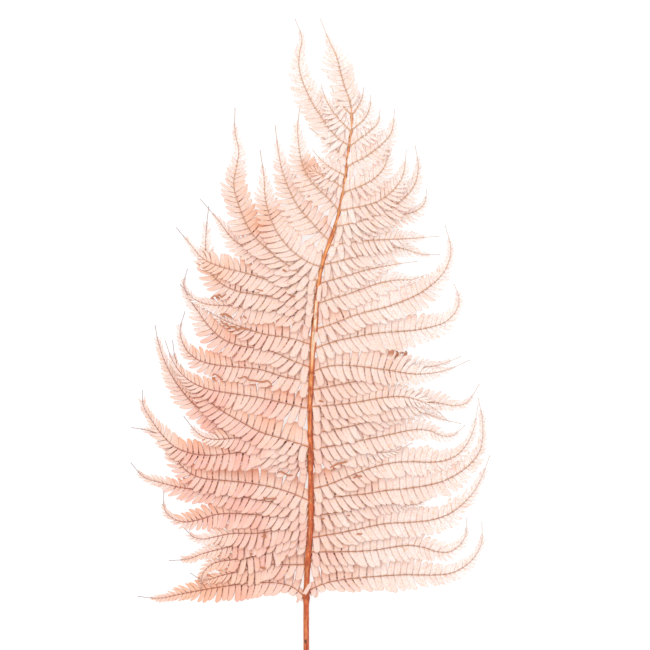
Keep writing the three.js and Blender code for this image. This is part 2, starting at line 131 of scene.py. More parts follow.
RIGHT_PINNAE = [
    [(-2.8, -1), (10, 5), (25, 8.5), (50, 11), (75, 12.5), (100, 12.3), (112, 13.5), (122, 18),
     (131, 26), (137, 38), (137.5, 55)],
    [(-1.6, 23), (20, 25.5), (40, 27), (52, 27.5), (66, 29)],
    [(-1.2, 31), (20, 31), (40, 31.5), (53, 32.5), (65, 34.5), (78, 36), (90, 34.5), (101, 31),
     (111, 30.5), (119, 35.5), (124.5, 44), (125.5, 58)],
    [(-0.6, 42), (20, 45.5), (40, 49.5), (60, 53.5), (80, 54.5), (98, 56.5), (112, 61.5), (122, 69),
     (131, 79), (138, 92), (144, 108)],
    [(0.5, 60), (15, 61.5), (30, 64.5), (45, 68.5), (60, 70), (75, 68.5), (86, 69), (99, 75)],
    [(0.5, 72), (15, 74.5), (30, 76), (45, 77.5), (60, 80), (80, 82), (102, 86), (115, 91.5),
     (127, 100), (135, 110), (138, 123), (137.5, 138), (134.5, 154)],
    [(0.5, 81), (15, 85), (30, 91), (50, 98.5), (65, 102), (78, 103), (95, 102.5), (107, 103.5),
     (118, 108.5), (126, 118), (131, 130), (134.5, 149)],
    [(0.5, 104), (12, 108), (25, 111), (50, 110.5), (68, 111.5), (82, 118)],
    [(0.4, 113), (25, 117), (45, 121), (65, 125), (84, 128.5), (96, 127.5), (106, 123.5), (115, 124),
     (124, 132)],
    [(0.3, 124), (12, 127.5), (25, 130), (37, 132.5), (50, 137.5), (61, 141.5), (75, 144), (90, 142),
     (103, 137.5), (121, 133)],
    [(0.2, 137.5), (25, 142), (45, 146), (70, 148), (90, 150.5), (104, 149.5), (116, 147.5),
     (126, 150.5), (135.5, 165)],
    [(0.1, 147), (30, 149.5), (45, 152), (60, 154.5), (73, 155), (87, 152), (99, 145.5), (112, 134)],
    [(0.3, 160), (15, 163), (35, 167), (50, 171.5), (62, 175.5), (75, 178), (93, 178.5), (106, 181),
     (121, 187)],
    [(0.8, 174.5), (12, 178.5), (22, 180), (36, 179.5), (60, 176.5), (85, 173), (107, 175.5),
     (128, 184)],
    [(1.7, 192.5), (19.5, 199), (33, 202), (49, 205), (63, 206.5), (84, 208), (97, 210.5),
     (109, 215), (117, 224), (119, 234), (115, 245)],
    [(2.5, 208), (20.6, 214), (33, 219), (45, 222.5), (61, 226.5), (82, 234.5), (93, 241), (103, 249.5),
     (110, 260), (112.5, 274), (108, 292)],
    [(4.5, 228.5), (18.5, 233.4), (31, 237), (42, 241), (57, 246), (70, 248), (82, 248.5), (93, 252.5)],
    [(6.2, 245), (25, 250), (45, 256), (65, 260), (86, 263)],
    [(9.8, 260), (21.6, 262.5), (33, 265.6), (46, 269.5), (57, 273), (68, 274), (78, 272),
     (90, 268.5), (104, 268.5)],
    [(14.5, 275), (25, 277), (40, 279), (55, 280), (70, 280.5), (85, 281.5), (103, 283)],
    [(17.8, 284.5), (35, 289), (50, 294.5), (62, 298.5), (75, 300.5), (85, 303.5), (91.5, 309.5),
     (93.5, 321)],
    [(20, 290.5), (33, 293), (43, 296), (53, 300), (63.4, 305), (72, 311), (80, 318.5), (85, 328),
     (86.5, 340), (84, 356)],
    [(23, 303), (35, 305.5), (45, 307.5), (56, 311.5), (63, 316.5), (69, 322.5), (73.5, 330),
     (75.5, 338), (77, 352)],
    [(26.3, 317.5), (33, 320), (41, 323), (50, 328), (56.5, 334), (60.5, 341), (62.5, 349), (64, 362)],
    [(29.2, 338), (36, 342), (43, 345.5), (51, 351), (58.5, 357.5), (64, 364), (66.5, 372),
     (67.5, 385)],
    [(31.5, 354.5), (40, 361), (48, 367), (54.5, 374), (56, 385)],
    [(33, 367.5), (40, 373), (45, 379), (48, 386.5), (48.5, 396)],
    [(33.2, 379), (38, 386), (41.5, 393), (43, 402)],
]
TIP_LINE = [(32.7, 386.3), (30.6, 393.5), (27.5, 402), (24.5, 413), (21.4, 426), (16, 437.5), (8.2, 457)]


def smooth(value, start, end):
    """Rises from 0 at start to 1 at end, level at both."""
    share = min(1, max(0, (value - start) / (end - start)))
    return share * share * (3 - 2 * share)


def mix(start, end, share):
    return start + (end - start) * share


def leaf_origin():
    """Where the leaf's own plan has its origin in the frame: the stalk's cut end is the same in both."""
    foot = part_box("stalk")[0].y
    corners = [v.co.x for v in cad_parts["stalk"].data.vertices if v.co.y < foot + 0.01 * MM]
    middle = (min(corners) + max(corners)) / 2
    return Vector((middle - STALK_LINE[0][0] * MM, foot - STALK_LINE[0][1] * MM, 0))


ORIGIN = leaf_origin()


class Line:
    """A smooth line seen from above, walked by its length. Plain numbers are in millimetres."""

    STEPS = 14  # between two of the given points

    def __init__(self, points):
        ends = [Vector(p) for p in points]
        ends = [2 * ends[0] - ends[1], *ends, 2 * ends[-1] - ends[-2]]
        self.places = [ends[1]]
        for a, b, c, d in zip(ends, ends[1:], ends[2:], ends[3:]):
            self.places += [self.between(a, b, c, d, i / self.STEPS) for i in range(1, self.STEPS + 1)]
        self.lengths = [0.0]
        for a, b in zip(self.places, self.places[1:]):
            self.lengths.append(self.lengths[-1] + (b - a).length)
        self.length = self.lengths[-1]
        self.whip = (Vector(points[-1]) - Vector(points[-2])).length

    @staticmethod
    def between(a, b, c, d, share):
        """A centripetal Catmull-Rom curve from b to c."""
        before, here, after = [(q - p).length ** 0.5 for p, q in ((a, b), (b, c), (c, d))]
        leave = ((b - a) / before - (c - a) / (before + here) + (c - b) / here) * here
        reach = ((c - b) / here - (d - b) / (here + after) + (d - c) / after) * here
        return (
            b + leave * share
            + (3 * (c - b) - 2 * leave - reach) * share ** 2
            + (2 * (b - c) + leave + reach) * share ** 3
        )

    def at(self, length):
        """The place and the heading, both seen from above, at a length from the start."""
        i = min(max(bisect.bisect_right(self.lengths, length) - 1, 0), len(self.places) - 2)
        step = self.places[i + 1] - self.places[i]
        return self.places[i] + step.normalized() * (length - self.lengths[i]), step.normalized()

    def beside(self, length, forward, out):
        """The place that lies forward and out to the left of the line's place at a length."""
        place, heading = self.at(length)
        return place + heading * forward + Vector((-heading.y, heading.x)) * out

    def bend(self, length, reach=5):
        """The turn to the left for each millimetre, round a place on the line."""
        before, after = self.at(length - reach)[1], self.at(length + reach)[1]
        return math.atan2(before.cross(after), before.dot(after)) / (2 * reach)


def in_frame(place, high):
    """A place in the leaf's plan and a height, both in millimetres, as a point of the frame."""
    return ORIGIN + Vector((place.x, place.y, high)) * MM


# The stalk's half thickness and the height of its underside, as in the solids.
def stalk_radius(y):
    return 2.35 - 0.45 * smooth(y, 0, 180) - 0.9 * smooth(y, 180, 386)


def stalk_lift(y):
    return 9 * smooth(y, -20, 140) - 5 * smooth(y, 210, 386)


def stalk_half_width(y):
    """The stalk broadens where it starts to lean."""
    return stalk_radius(y) + 0.8 * math.exp(-((y - 205) / 12) ** 2)


stalk_line = Line(STALK_LINE)
tip_line = Line(TIP_LINE)


def find_tree(lines):
    """A tree that finds the place nearest to another one on some lines."""
    places = [place for line in lines for place in line.places]
    tree = KDTree(len(places))
    for i, place in enumerate(places):
        tree.insert((place.x, place.y, 0), i)
    tree.balance()
    return tree


stalk_tree = find_tree([stalk_line])
axis_tree = find_tree([stalk_line, tip_line])
rib_tree = find_tree([Line(points) for points in LEFT_PINNAE + RIGHT_PINNAE])


def stalk_heading(place):
    """The stalk's heading where it is nearest to a place."""
    _, i, _ = stalk_tree.find((place.x, place.y, 0))
    return stalk_line.places[min(i + 2, len(stalk_line.places) - 1)] - stalk_line.places[max(i - 2, 0)]


def clearance(place, tree):
    """How far a place lies from the stalk's surface, seen from above."""
    near, _, distance = tree.find((place.x, place.y, 0))
    return distance - stalk_half_width(near.y)


# Materials.
def linear(hex_colour):
    """An sRGB hex colour as the linear colour that a shader socket takes."""
    parts = [int(hex_colour[i:i + 2], 16) / 255 for i in (1, 3, 5)]
    return [c / 12.92 if c <= 0.04045 else ((c + 0.055) / 1.055) ** 2.4 for c in parts] + [1]


def add_node(tree, kind, inputs=(), stops=(), **settings):
    """Adds a node, with its settings, its ramp's stops, and each input's value or link."""
    made = tree.nodes.new(kind)
    for name, value in settings.items():
        setattr(made, name, value)
    for i, (place, colour) in enumerate(stops):
        ramp = made.color_ramp.elements
        stop = ramp[i] if i < len(ramp) else ramp.new(place)
        stop.position = place
        stop.color = linear(colour)
    for name, value in dict(inputs).items():
        if isinstance(value, bpy.types.NodeSocket):
            tree.links.new(value, made.inputs[name])
        else:
            made.inputs[name].default_value = value
    return made


def new_material(name):
    """An empty material, its node tree and its Principled shader."""
    material = bpy.data.materials.new(name)
    material.use_nodes = True
    return material, material.node_tree, material.node_tree.nodes["Principled BSDF"]


def kept(tree, name, output="Fac"):
    """What the mesh's corners keep under a name: one number, or three by the output named Vector."""
    return add_node(tree, "ShaderNodeAttribute", attribute_name=name).outputs[output]


def split(tree, vector):
    """A vector's three numbers."""
    return add_node(tree, "ShaderNodeSeparateXYZ", {"Vector": vector}).outputs


def absolute(tree, value):
    return add_node(tree, "ShaderNodeMath", {0: value}, operation="ABSOLUTE").outputs[0]


def noise_of(tree, place, size, detail):
    """The outputs of a noise whose lumps are about as wide as size."""
    inputs = {"Vector": place, "Scale": 1 / size, "Detail": detail}
    return add_node(tree, "ShaderNodeTexNoise", inputs).outputs


def map_range(tree, value, start, end, low=0, high=1):
    """A value taken from start..end to low..high, level at both ends."""
    inputs = {"Value": value, "From Min": start, "From Max": end, "To Min": low, "To Max": high}
    return add_node(tree, "ShaderNodeMapRange", inputs, interpolation_type="SMOOTHSTEP").outputs[0]


def blend(tree, amount, colour, other):
    """A colour mixed with another one by an amount."""
    inputs = {0: amount, 6: colour, 7: other}
    return add_node(tree, "ShaderNodeMix", inputs, data_type="RGBA").outputs[2]


def product(tree, *values):
    """The values multiplied together."""
    result = values[0]
    for value in values[1:]:
        result = add_node(tree, "ShaderNodeMath", {0: result, 1: value}, operation="MULTIPLY").outputs[0]
    return result


def weighted(tree, base, *terms):
    """A base number and each value times its weight, summed."""
    result = base
    for value, weight in terms:
        inputs = {0: value, 1: weight, 2: result}
        result = add_node(tree, "ShaderNodeMath", inputs, operation="MULTIPLY_ADD").outputs[0]
    return result


LEAF_TONES = [(0, "#F7EDE7"), (0.25, "#F5E0D6"), (0.5, "#F2D7CA"), (0.75, "#F0CBBC"), (1, "#EDB3A4")]
LEAF_LILAC = "#F3C6C8"
LEAF_APRICOT = "#F2BE92"
# Painted warm shade under the next pinna, and also the warmer dye of the warm spots.
LEAF_WARM_DYE_AND_SHADE = "#F0B08A"
# Painted shade in the slits between leaflets, and also the midvein's own darker colour.
LEAF_SLIT_SHADE_AND_VEIN = "#94503A"
# Painted shade in the sinuses between the leaflets' bases.
LEAF_SINUS_SHADE = "#6E3424"
LEAF_WITHERED = "#B6622C"
PATCH = 40 * MM  # how far the dye's warm and pink patches lie apart
MOTTLE = 1.7 * MM  # the fine mottling of each leaflet
GRAIN = 0.35 * MM  # the leaf's papery grain
VEIN_PITCH = 1.1  # mm between a leaflet's side veins
VEIN_SLANT = 2.4  # mm that a side vein runs towards the tip on its way out to the margin
WITHERED = -1  # the draw of a leaflet that dried rolled up and brown
# Where the dye is warmer: x and y in the leaf's plan, how far round that place and how much.
WARM_SPOTS = [
    (-100, -2, 45, 0.5), (-60, 2, 40, 0.25), (-76, 257, 20, 0.4), (1, 338, 14, 0.5), (-41, 296, 18, 0.45),
]
WARM_SPOT_LIFT = 6  # mm, about how high the leaflets lie there


def leaf_material():
    """Fern leaf tissue, bleached, dyed and kept supple with glycerine: a pale, matt, papery face, pinker
    to the left and the foot, mottled, with fine veins, painted shade in the slits between leaflets and
    in the sinuses, and painted warm shade where the next pinna lies over."""
    material, tree, shader = new_material("Dyed preserved fern leaf")
    place = add_node(tree, "ShaderNodeTexCoord").outputs["Object"]
    skin = kept(tree, "skin", "Vector")
    along, across, share = split(tree, skin)
    draw = kept(tree, "draw")
    reach = kept(tree, "reach")
    sides = split(tree, place)
    aside = absolute(tree, across)

    patches = noise_of(tree, place, PATCH, 2)["Fac"]
    to_left = map_range(tree, sides["X"], 0.13, -0.07)
    to_top = map_range(tree, sides["Y"], 0.12, 0.24)
    to_end = map_range(tree, reach, 0.55, 0.95)
    left_pink = product(tree, to_left, map_range(tree, sides["Y"], 0.1, -0.04, 0.46, 0.8))
    left_end = product(tree, to_left, to_end)
    pinkness = weighted(tree, -0.45, (left_pink, 1), (to_top, -0.3), (to_end, -0.12), (left_end, -0.38),
                        (patches, 0.9), (draw, 0.2))
    dye = add_node(tree, "ShaderNodeValToRGB", {"Fac": pinkness}, stops=LEAF_TONES).outputs["Color"]

    # Two fine mottlings, one towards lilac and one towards apricot.
    mottle = noise_of(tree, place, MOTTLE, 1)["Color"]
    spread = add_node(tree, "ShaderNodeSeparateColor", {"Color": mottle}).outputs
    lilac = map_range(tree, spread["Red"], 0.5, 0.72, 0, 0.6)
    colour = blend(tree, lilac, dye, linear(LEAF_LILAC))
    apricot = map_range(tree, spread["Green"], 0.5, 0.72, 0, 0.55)
    colour = blend(tree, apricot, colour, linear(LEAF_APRICOT))

    # Painted shade: the side that the next pinna lies over is painted a warmer, darker tone, most where it
    # is covered and on the pinker parts.
    under = kept(tree, "under")
    covered = map_range(tree, share, 0.0, 0.9, 0.25, 1)
    painted_shade_under_pinna = product(tree, under, covered, map_range(tree, pinkness, 0.3, 0.9), 0.6)
    colour = blend(tree, painted_shade_under_pinna, colour, linear(LEAF_WARM_DYE_AND_SHADE))
    # The warm spots are dye, in the same colour as the painted shade above.
    for x, y, size, amount in WARM_SPOTS:
        inputs = {0: place, 1: in_frame(Vector((x, y)), WARM_SPOT_LIFT)}
        away = add_node(tree, "ShaderNodeVectorMath", inputs, operation="DISTANCE").outputs["Value"]
        warm = map_range(tree, away, size * MM, 0.3 * size * MM, 0, amount)
        colour = blend(tree, warm, colour, linear(LEAF_WARM_DYE_AND_SHADE))

    # Painted shade in the slits along a leaflet's lower margin, most near the rib and on the pinker parts,
    # with a darker spot of painted shade in the sinuses.
    # The dye gathers in the slit along a leaflet's lower margin, most near the rib, and in the sinus.
    shade_where_pink = map_range(tree, pinkness, 0.25, 0.85, 0.08, 1.5)
    strength = product(tree, shade_where_pink, map_range(tree, reach, 0.55, 0.95, 1, 0.35))
    broken = map_range(tree, spread["Blue"], 0.34, 0.6, 0.15, 1)
    wide = map_range(tree, draw, 0.7, 0.95, 0.76, 0.5)
    inner = map_range(tree, share, 0.04, 0.26, 0.2, 1)
    outer = map_range(tree, share, 0.85, 0.45)
    painted_slit_shade = product(tree, map_range(tree, across, wide, 1), inner, outer, broken, strength)
    colour = blend(tree, painted_slit_shade, colour, linear(LEAF_SLIT_SHADE_AND_VEIN))
    picked = map_range(tree, draw, 0.5, 0.95)
    spot = product(tree, map_range(tree, along, 0.7, 1.5), map_range(tree, along, 3.2, 2.2))
    painted_sinus_shade = product(tree, map_range(tree, aside, 0.6, 0.95), spot, picked, strength)
    colour = blend(tree, painted_sinus_shade, colour, linear(LEAF_SINUS_SHADE))
    # The midvein's own darker colour, taken from the slits' shade colour.
    midvein = product(tree, map_range(tree, aside, 0.12, 0.02), map_range(tree, share, 0.9, 0.2), 0.2)
    colour = blend(tree, midvein, colour, linear(LEAF_SLIT_SHADE_AND_VEIN))
    dried = map_range(tree, draw, 0, WITHERED, 0, 0.85)
    withered = product(tree, dried, map_range(tree, share, 0.5, 0.85))
    colour = blend(tree, withered, colour, linear(LEAF_WITHERED))
    tree.links.new(colour, shader.inputs["Base Color"])

    # Side veins run out from the midvein at a slant.
    turn = 2 * math.pi / VEIN_PITCH
    phase = weighted(tree, 0.0, (along, turn), (aside, -VEIN_SLANT * turn))
    veins = add_node(tree, "ShaderNodeMath", {0: phase}, operation="SINE").outputs[0]
    grain = noise_of(tree, place, GRAIN, 3)["Fac"]
    relief = weighted(tree, 0.0, (veins, 0.25), (grain, 1))
    bump = add_node(tree, "ShaderNodeBump", {"Height": relief, "Strength": 0.5, "Distance": 0.06 * MM})
    tree.links.new(bump.outputs[0], shader.inputs["Normal"])
    shader.inputs["Roughness"].default_value = 0.68
    shader.inputs["Specular IOR Level"].default_value = 0.25
    return material


FIBRE_STRETCH = 0.06  # a fibre's width as a share of its length


def fibres(tree, streak):
    """Long fibres along a stem, a streak's width apart in millimetres, from 0 to 1."""
    fibre = kept(tree, "fibre", "Vector")
    narrow, long = 1 / streak, FIBRE_STRETCH / streak
    threads = add_node(tree, "ShaderNodeMapping", {"Vector": fibre, "Scale": (narrow, narrow, long)})
    return noise_of(tree, threads.outputs[0], 1, 4)["Fac"]


def finish_stem(tree, shader, colour, streaks, relief):
    """Links a stem's colour and raises its fibres, relief millimetres high."""
    tree.links.new(colour, shader.inputs["Base Color"])
    bump = add_node(tree, "ShaderNodeBump", {"Height": streaks, "Strength": 0.6, "Distance": relief * MM})
    tree.links.new(bump.outputs[0], shader.inputs["Normal"])
    shader.inputs["Roughness"].default_value = 0.5


# Colours along a stem, from its foot, 0, to its end, 1.
RIB_TONES = [
    (0, "#D4804A"), (0.12, "#B86C40"), (0.5, "#AE6642"), (0.75, "#BA7E6C"), (0.86, "#BC9E98"),
    (1, "#B2A0A0"),
]
RIB_STREAK = "#8A4A34"
RIB_RED = "#AA4A38"
RIB_PALE = "#DDB08C"
RIB_TAN = "#C88E64"
RIB_FADED = "#E0CCC4"
STALK_TONES = [
    (0, "#C24616"), (0.2, "#CA4E1A"), (0.42, "#DA6026"), (0.62, "#E88A48"), (0.8, "#E58E50"),
    (1, "#F2B888"),
]
# Painted shade on the stalk's flanks, and also the dark red of its knots.
STALK_EDGE_SHADE_AND_KNOT = "#97370F"
STALK_LEFT = "#C0702A"
STALK_RIGHT = "#B23C10"
STALK_CREAM = "#FBE4C6"
STALK_SCAR = "#3A1A0A"
BLOTCH = 6 * MM  # how far the stalk's red blotches lie apart
WANDER = 0.07  # how many stretches of the channel's painted highlight come in a millimetre
SCAR_AT = -222.4 * MM  # the frame's y of a small dark scar on the bare foot
# Painted highlight along the stalk's channel and on its fine fibres.
STALK_HIGHLIGHT = "#FFC27E"
STALK_DARK = "#8C2E0C"


def rib_material():
    """A fern's thin midrib, dyed and dried: tan to mauve, with fibres along it and a satin skin."""
    material, tree, shader = new_material("Dyed fern rib")
    reach = kept(tree, "reach")
    ground = add_node(tree, "ShaderNodeValToRGB", {"Fac": reach}, stops=RIB_TONES).outputs["Color"]
    streaks = fibres(tree, 0.3)
    colour = blend(tree, map_range(tree, streaks, 0.5, 0.75, 0, 0.6), ground, linear(RIB_STREAK))
    place = add_node(tree, "ShaderNodeTexCoord").outputs["Object"]
    sides = split(tree, place)
    leftness = weighted(tree, 0.0, (sides["X"], -1), (sides["Y"], -0.35))
    red = product(tree, map_range(tree, leftness, 0.0, 0.12, 0, 0.5), map_range(tree, reach, 0.95, 0.7))
    colour = blend(tree, red, colour, linear(RIB_RED))
    colour = blend(tree, map_range(tree, leftness, 0.04, -0.05, 0, 0.65), colour, linear(RIB_TAN))
    to_right = map_range(tree, leftness, 0.0, -0.1, 0, 0.75)
    faded = product(tree, to_right, map_range(tree, reach, 0.55, 0.95))
    colour = blend(tree, faded, colour, linear(RIB_FADED))
    to_top = map_range(tree, sides["Y"], -0.05, 0.2, 0, 0.75)
    pale = product(tree, to_top, map_range(tree, reach, 0.97, 0.75))
    colour = blend(tree, pale, colour, linear(RIB_PALE))
    finish_stem(tree, shader, colour, streaks, 0.05)
    return material


def stalk_material():
    """A fern's stalk, dyed orange and dried: painted shade on its flanks, a painted highlight along its
    channel and on fine fibres, red knots, long fibres.
    """
    material, tree, shader = new_material("Dyed fern stalk")
    skin = kept(tree, "skin", "Vector")
    length, across, _ = split(tree, skin)
    place = add_node(tree, "ShaderNodeTexCoord").outputs["Object"]
    along = split(tree, place)["Y"]
    knot = kept(tree, "draw")
    reach = kept(tree, "reach")
    aside = absolute(tree, across)
    ground = add_node(tree, "ShaderNodeValToRGB", {"Fac": reach}, stops=STALK_TONES).outputs["Color"]
    streaks = fibres(tree, 0.7)
    fine = fibres(tree, 0.25)
    inputs = {"W": length, "Scale": WANDER, "Detail": 2}
    wander = add_node(tree, "ShaderNodeTexNoise", inputs, noise_dimensions="1D").outputs["Fac"]

    colour = blend(tree, map_range(tree, across, -0.25, -0.85, 0, 0.85), ground, linear(STALK_LEFT))
    colour = blend(tree, map_range(tree, across, 0.2, 0.85, 0, 0.85), colour, linear(STALK_RIGHT))
    # Painted shade darkens both flanks of the stalk.
    colour = blend(tree, map_range(tree, aside, 0.8, 1, 0, 0.6), colour, linear(STALK_EDGE_SHADE_AND_KNOT))
    # Painted highlight along the channel, in stretches, weaker towards the foot.
    pale = map_range(tree, reach, 0.45, 0.6, 0.45, 1)
    middle = map_range(tree, aside, 0.4, 0.05)
    channel = product(tree, middle, map_range(tree, wander, 0.38, 0.62), pale)
    colour = blend(tree, channel, colour, linear(STALK_HIGHLIGHT))
    bleached = product(tree, map_range(tree, along, -0.006, 0.014), map_range(tree, along, 0.06, 0.046))
    cream = product(tree, map_range(tree, aside, 0.6, 0.3), bleached, 0.9)
    colour = blend(tree, cream, colour, linear(STALK_CREAM))
    blotch = noise_of(tree, place, BLOTCH, 2)["Fac"]
    colour = blend(tree, map_range(tree, blotch, 0.52, 0.66, 0, 0.6), colour, linear(STALK_RIGHT))
    to_foot = map_range(tree, reach, 0.5, 0.65, 1, 0.45)
    darker = product(tree, map_range(tree, streaks, 0.48, 0.62, 0, 0.8), to_foot)
    colour = blend(tree, darker, colour, linear(STALK_DARK))
    # Fine fibres picked out in painted highlight.
    colour = blend(tree, map_range(tree, fine, 0.52, 0.68, 0, 0.5), colour, linear(STALK_HIGHLIGHT))
    # The knots' own dark red.
    ring = product(tree, map_range(tree, knot, 0.3, 1, 0, 0.7), map_range(tree, blotch, 0.35, 0.6))
    colour = blend(tree, ring, colour, linear(STALK_EDGE_SHADE_AND_KNOT))
    past_scar = add_node(tree, "ShaderNodeMath", {0: along, 1: SCAR_AT}, operation="SUBTRACT").outputs[0]
    scar_length = map_range(tree, absolute(tree, past_scar), 2 * MM, MM)
    scar = product(tree, scar_length, map_range(tree, across, 0.25, -0.1),
                   map_range(tree, across, -0.8, -0.4), 0.9)
    colour = blend(tree, scar, colour, linear(STALK_SCAR))
    finish_stem(tree, shader, colour, streaks, 0.15)
    return material


leaf_finish = leaf_material()
rib_finish = rib_material()
stalk_finish = stalk_material()


def new_piece(name, mesh, finishes):
    """Makes the object of a finished mesh, with faces outward, and ties it to the frame."""
    bmesh.ops.recalc_face_normals(mesh, faces=mesh.faces[:])
    for face in mesh.faces:
        face.smooth = True
    data = bpy.data.meshes.new(name)
    mesh.to_mesh(data)
    mesh.free()
    piece = bpy.data.objects.new(name, data)
    bpy.context.scene.collection.objects.link(piece)
    for finish in finishes:
        data.materials.append(finish)
    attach(piece, "root")
    return piece


def new_mesh():
    """An empty mesh whose corners keep what the materials read. skin is the way along in mm, the way
    across and the share of the way, or on a stem the way up. fibre is a stem's own place in mm, along it
    last. reach is the share of the pinna or stalk. draw is a leaflet's random draw or a stem's knot, and
    under is 1 on the leaflets that the next pinna lies over."""
    mesh = bmesh.new()
    for name in ("skin", "fibre"):
        mesh.verts.layers.float_vector.new(name)
    for name in ("reach", "draw", "under"):
        mesh.verts.layers.float.new(name)
    return mesh


def ring_frame(centre, heading, radius, flat):
    """The matrix that lays a unit ring across a stem: x to its side, y up and z along it."""
    along = heading.normalized()
    side = along.cross(UP).normalized()
    up = side.cross(along)
    turned = Matrix((side, up, along)).transposed().to_4x4()
    return Matrix.Translation(centre) @ turned @ Matrix.Diagonal((radius, radius * flat, radius, 1))


def add_stem(mesh, outline, rings, material):
    """Sweeps a closed unit outline through rings, each a matrix, share of the way, mm so far and knot."""
    floats, vectors = mesh.verts.layers.float, mesh.verts.layers.float_vector
    made = bmesh.ops.create_circle(mesh, cap_ends=True, segments=len(outline), radius=1)
    corners = made["verts"]
    for corner, place in zip(corners, outline):
        corner.co = (*place, 0)
    edges = list({edge for corner in corners for edge in corner.link_edges})
    faces = {face for corner in corners for face in corner.link_faces}
    before = Matrix.Identity(4)
    for i, (ring, share, length, knot) in enumerate(rings):
        if i:
            grown = bmesh.ops.extrude_edge_only(mesh, edges=edges)["geom"]
            corners = [g for g in grown if isinstance(g, bmesh.types.BMVert)]
            edges = [g for g in grown if isinstance(g, bmesh.types.BMEdge) and g.is_boundary]
            faces.update(g for g in grown if isinstance(g, bmesh.types.BMFace))
        bmesh.ops.transform(mesh, matrix=ring @ before.inverted(), verts=corners)
        before = ring
        back = ring.inverted()
        thick = ring.to_scale().x / MM
        for corner in corners:
            local = back @ corner.co
            corner[floats["reach"]] = share
            corner[floats["draw"]] = knot
            corner[vectors["skin"]] = (length, local.x, local.y)
            corner[vectors["fibre"]] = (local.x * thick, local.y * thick, length)
    faces.update(bmesh.ops.holes_fill(mesh, edges=edges)["faces"])
    for face in faces:
        face.material_index = material


# The stalk: a flat underside, two ridges along its upper face and a channel between them. Its outline
# is in shares of its half thickness.
STALK_SIDES = 28
STALK_WIDTH = 0.97
STALK_UNDERSIDE = -0.94
RIDGE_HEIGHT = 0.98
RIDGE_ROUNDNESS = 0.7
CHANNEL_DEPTH = 0.4
CHANNEL_WIDTH = 0.3
# Along the stalk, in millimetres, with swellings as shares of its thickness.
STALK_STEP = 2.2
KNOT_SWELL = (0.06, 0.3)
KNOT_LENGTH = 2.6
UNEVENNESS = 0.012


def stalk_outline():
    """The stalk's section, seen along it, with the ridges and the channel on top."""
    places = []
    for i in range(STALK_SIDES):
        turn = 2 * math.pi * i / STALK_SIDES
        x, y = STALK_WIDTH * math.sin(turn), math.cos(turn)
        if y > 0:
            y = RIDGE_HEIGHT * y ** RIDGE_ROUNDNESS - CHANNEL_DEPTH * math.exp(-(x / CHANNEL_WIDTH) ** 2)
        places.append((x, max(y, STALK_UNDERSIDE)))
    return places


def make_stalk():
    """The stalk, swollen to a knot where each pinna joins it."""
    joints = [(points[0][1], chance.uniform(*KNOT_SWELL)) for points in LEFT_PINNAE + RIGHT_PINNAE]
    count = round(stalk_line.length / STALK_STEP)
    rings = []
    for i in range(count + 1):
        length = stalk_line.length * i / count
        place, heading = stalk_line.at(length)
        radius = stalk_radius(place.y)
        swell = max(size * math.exp(-((place.y - joint) / KNOT_LENGTH) ** 2) for joint, size in joints)
        rough = 1 + UNEVENNESS * (math.sin(length * 0.37) + math.sin(length * 0.83))
        centre = in_frame(place, stalk_lift(place.y) + radius)
        thick = stalk_half_width(place.y) * (1 + swell) * rough * MM
        ring = ring_frame(centre, heading.to_3d(), thick, min(1, radius * MM / thick))
        rings.append((ring, i / count, length, swell / KNOT_SWELL[1]))
    mesh = new_mesh()
    add_stem(mesh, stalk_outline(), rings, 0)
    stalk = new_piece("stalk_skin", mesh, [stalk_finish])
    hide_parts("stalk")


# Pinnae. The solids' own sizes, in millimetres, which the finer leaflets keep.
SOLID_RIB_THICKNESS = 1.15
SHINGLE_TILT = 0.2  # how steeply a pinna slopes down to the side that the next one lies over
LEAFLET_DROOP = 0.9
LEAFLET_LENGTH = 12.5
RIB_HALF_WIDTH = 1.0
LEAFLET_CLEARANCE = -0.6  # leaflets may reach this far over the stalk's edge
# The finer pieces' sizes, in millimetres.
LEAFLET_THICKNESS = 0.24
SHEET_RISE = 0.1  # how far a leaflet's sheet lies above its place in the solid
MIDVEIN_DEPTH = 0.1
LOWEST = 0.3  # how high a leaflet's sheet lies where it touches the surface
SURFACE_GAP = 0.02  # how far every corner stays above the surface
LARGE_PINNA = 80  # a pinna at least this long has leaflets of full size
LOWEST_PAIR = 5  # the pinnae that grow below this place of the stalk
SLENDER_FROM = 180  # the places of the stalk where pinnae start to be, and are wholly, slender
SLENDER_TO = 370
FOOT_PITCH = 6.0  # between the leaflets of a large pinna, at its foot and at its end
END_PITCH = 2.8
LONGEST_LEAFLET = 16
SHORTEST_LEAFLET = 1
LENGTH_SPREAD = 0.1  # how much longer or shorter a leaflet may be, as a share
REACH_INTO_ROOM = 0.56  # leaflets reach a little past the middle of the room beside them
NEIGHBOUR_REACH = 36
OWN_REACH = 5  # nothing nearer than this counts as a neighbour
SQUARE_WITHIN = 3
BEND_ROOM = 0.75  # the share of a bend's radius that the leaflets on its inside may take
LEAFY_WHIP = 0.35  # the share of the whip that still has small leaflets
WITHERED_START = 0.5  # where along a leaflet its crumpled, brown end begins
STRAY_ARCH = 0.35
STRAND_SCATTER = 0.7
RIB_RISE = 0.12  # how far the rib's middle lies above its place in the solid
RIB_FLATNESS = 0.9
WHIP_HALF = 0.32
RIB_FOOT_SWELL = 0.4
RIB_STEP = 3
HEIGHT_STEP = 1.5
SMOOTHING = 2  # how many heights on each side one is averaged with
SEEK_STEP = 0.25
ROW_STEPS = 6
COLUMN_STEPS = 4
RIB_SIDES = 6
PINNA_FINISHES = [leaf_finish, rib_finish]


